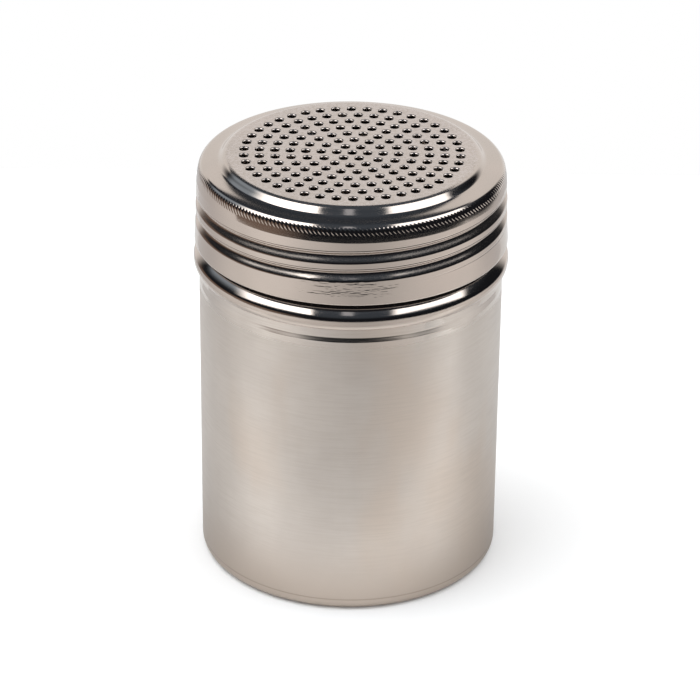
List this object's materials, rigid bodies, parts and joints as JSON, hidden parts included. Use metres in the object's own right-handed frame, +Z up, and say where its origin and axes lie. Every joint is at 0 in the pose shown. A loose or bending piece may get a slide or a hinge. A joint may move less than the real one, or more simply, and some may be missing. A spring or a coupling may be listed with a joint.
{
  "type": "sugar dredger",
  "caption": "Round sheet-metal sugar dredger: a straight canister with a finely perforated, stepped screw lid that has a rolled thread and a rolled bead.",
  "frame": {"origin": "on the axis, at the level of the ring that the canister stands on", "axes": "+Z up along the axis, -Y towards the viewer of the picture, +X to the viewer's right"},
  "size_m": [0.07, 0.07, 0.097],
  "materials": {
    "canister_steel": "satin, finely brushed round the body",
    "lid_steel": "semi-bright, polished on the shoulder and bead",
    "seal": "matt"
  },
  "bodies": {
    "body": {"canister": "canister_steel"},
    "seal": {"seal_ring": "seal"},
    "lid": {"perforated_lid": "lid_steel"}
  },
  "joints": [
    {"name": "lid_rise", "type": "slide", "parent": "body", "child": "seal", "axis": [0, 0, 1], "range_m": [0, 0.00845]},
    {"name": "lid_turn", "type": "hinge", "parent": "seal", "child": "lid", "pos_m": [0, 0, 0.084], "axis": [0, 0, 1], "range_deg": [0, 720]}
  ],
  "couplings": [
    {"joint": "lid_rise", "follows": "lid_turn", "m_per_rad": 0.00066845}
  ]
}
